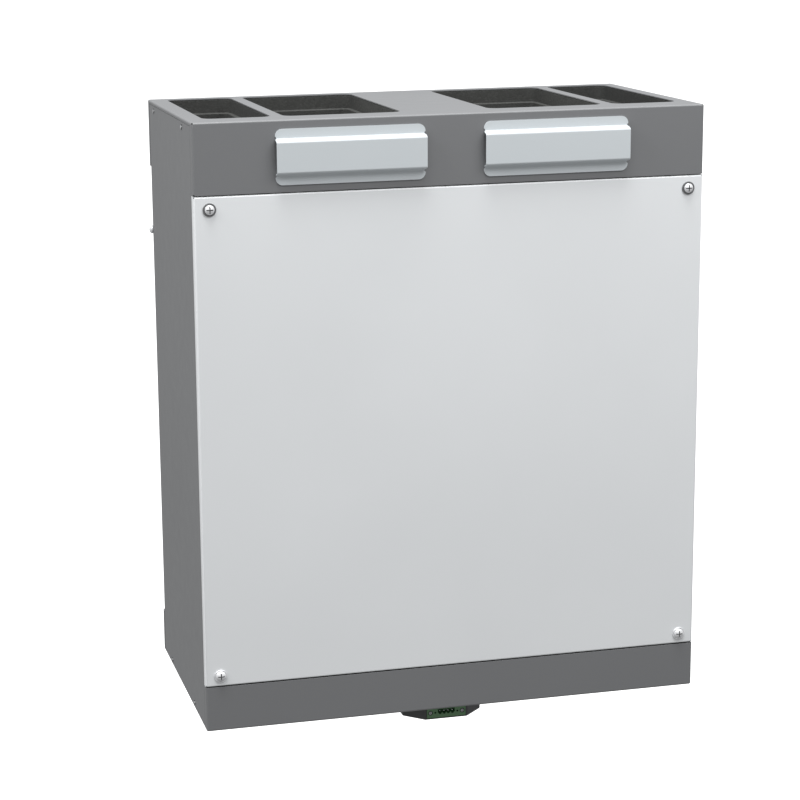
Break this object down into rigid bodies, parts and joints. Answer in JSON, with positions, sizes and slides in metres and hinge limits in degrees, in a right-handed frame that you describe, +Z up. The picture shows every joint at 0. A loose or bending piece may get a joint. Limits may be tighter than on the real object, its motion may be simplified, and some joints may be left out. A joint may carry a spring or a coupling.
{
  "type": "heat recovery unit",
  "caption": "Wall-hung ventilation unit: folded grey casing, white front cover, stepped duct ports on top, pull-off filter covers and a sliding plate heat exchanger inside.",
  "frame": {"origin": "on the outer face of the upper rear skirt, which lies against the wall, in the middle of its width and height", "axes": "+X to the viewer's right, front looks along -Y, +Y into the wall, +Z up"},
  "size_m": [0.6018, 0.3112, 0.728],
  "materials": {
    "casing_grey": "neutral mid-grey powder coat with a fine texture, satin",
    "cover_white": "white powder coat, satin",
    "grip_white": "pale blue-grey coat, satin",
    "galvanised_sheet": "zinc-coated sheet, dull spangle",
    "polished_steel": "polished screw steel",
    "black_foam": null,
    "exchanger_plastic": null,
    "pale_plastic": "moulded, matt",
    "strap_webbing": "woven webbing",
    "filter_fleece": "white pleated fleece",
    "filter_card": "card frame, matt",
    "black_plastic": "moulded, fine texture",
    "motor_metal": "die-cast, dull",
    "green_terminal": "green moulded plastic, satin",
    "circuit_board": "green lacquered board",
    "cable_sheath": "smooth sheath"
  },
  "bodies": {
    "casing": {"top_cap": "casing_grey", "bottom_cap": "casing_grey", "side_panel_left": "casing_grey", "side_panel_right": "casing_grey", "rear_panel": "galvanised_sheet", "hanging_rail": "galvanised_sheet", "rail_screw_left": "polished_steel", "rail_screw_right": "polished_steel", "port_block": "black_foam", "foam_body": "black_foam", "exchanger_rail_left": "pale_plastic", "exchanger_rail_right": "pale_plastic", "condensate_tray": "pale_plastic", "drain_pipe": "black_plastic", "fan_housing_left": "black_plastic", "fan_housing_right": "black_plastic", "fan_nozzle_left": "black_plastic", "fan_nozzle_right": "black_plastic", "fan_motor_left": "motor_metal", "fan_motor_right": "motor_metal", "bypass_frame": "pale_plastic", "bypass_motor": "black_plastic", "control_board": "circuit_board", "extract_sensor": "black_plastic", "outdoor_sensor": "black_plastic", "connector_housing": "black_plastic", "terminal_header": "green_terminal", "header_screw_left": "polished_steel", "header_screw_right": "polished_steel", "supply_lead": "cable_sheath", "fan_lead_left": "cable_sheath", "fan_lead_right": "cable_sheath", "side_screw_left_1": "polished_steel", "side_screw_left_2": "polished_steel", "side_screw_left_3": "polished_steel", "side_screw_left_4": "polished_steel", "side_screw_right_1": "polished_steel", "side_screw_right_2": "polished_steel", "side_screw_right_3": "polished_steel", "side_screw_right_4": "polished_steel"},
    "filter_left": {"filter_frame_left": "filter_card", "filter_media_left": "filter_fleece"},
    "filter_right": {"filter_frame_right": "filter_card", "filter_media_right": "filter_fleece"},
    "grip_left": {"filter_cover_left": "grip_white", "filter_plug_left": "black_foam"},
    "grip_right": {"filter_cover_right": "grip_white", "filter_plug_right": "black_foam"},
    "exchanger": {"exchanger_core": "exchanger_plastic", "exchanger_front_plate": "pale_plastic", "exchanger_strap": "strap_webbing"},
    "front": {"front_cover": "cover_white", "cover_insulation": "black_foam", "cover_screw_top_left": "polished_steel", "cover_screw_top_right": "polished_steel", "cover_screw_bottom_left": "polished_steel", "cover_screw_bottom_right": "polished_steel"},
    "wheel_left": {"fan_wheel_left": "black_plastic"},
    "wheel_right": {"fan_wheel_right": "black_plastic"},
    "flap": {"bypass_flap": "pale_plastic"}
  },
  "joints": [
    {"name": "filter_left_slide", "type": "slide", "parent": "casing", "child": "filter_left", "axis": [0, -1, 0], "range_m": [0, 0.26]},
    {"name": "filter_right_slide", "type": "slide", "parent": "casing", "child": "filter_right", "axis": [0, -1, 0], "range_m": [0, 0.26]},
    {"name": "filter_cover_left_pull", "type": "slide", "parent": "filter_left", "child": "grip_left", "axis": [0, -1, 0], "range_m": [0, 0.08]},
    {"name": "filter_cover_right_pull", "type": "slide", "parent": "filter_right", "child": "grip_right", "axis": [0, -1, 0], "range_m": [0, 0.08]},
    {"name": "exchanger_slide", "type": "slide", "parent": "casing", "child": "exchanger", "axis": [0, -1, 0], "range_m": [0, 0.24]},
    {"name": "front_cover_pull", "type": "slide", "parent": "exchanger", "child": "front", "axis": [0, -1, 0], "range_m": [0, 0.2]},
    {"name": "fan_left_spin", "type": "hinge", "parent": "casing", "child": "wheel_left", "pos_m": [-0.1735, -0.062, -0.5], "axis": [0, 1, 0], "continuous": true},
    {"name": "fan_right_spin", "type": "hinge", "parent": "casing", "child": "wheel_right", "pos_m": [0.1735, -0.062, -0.5], "axis": [0, -1, 0], "continuous": true},
    {"name": "bypass_flap_hinge", "type": "hinge", "parent": "casing", "child": "flap", "pos_m": [-0.1785, -0.0664, -0.0615], "axis": [-1, 0, 0], "range_deg": [0, 80]}
  ]
}
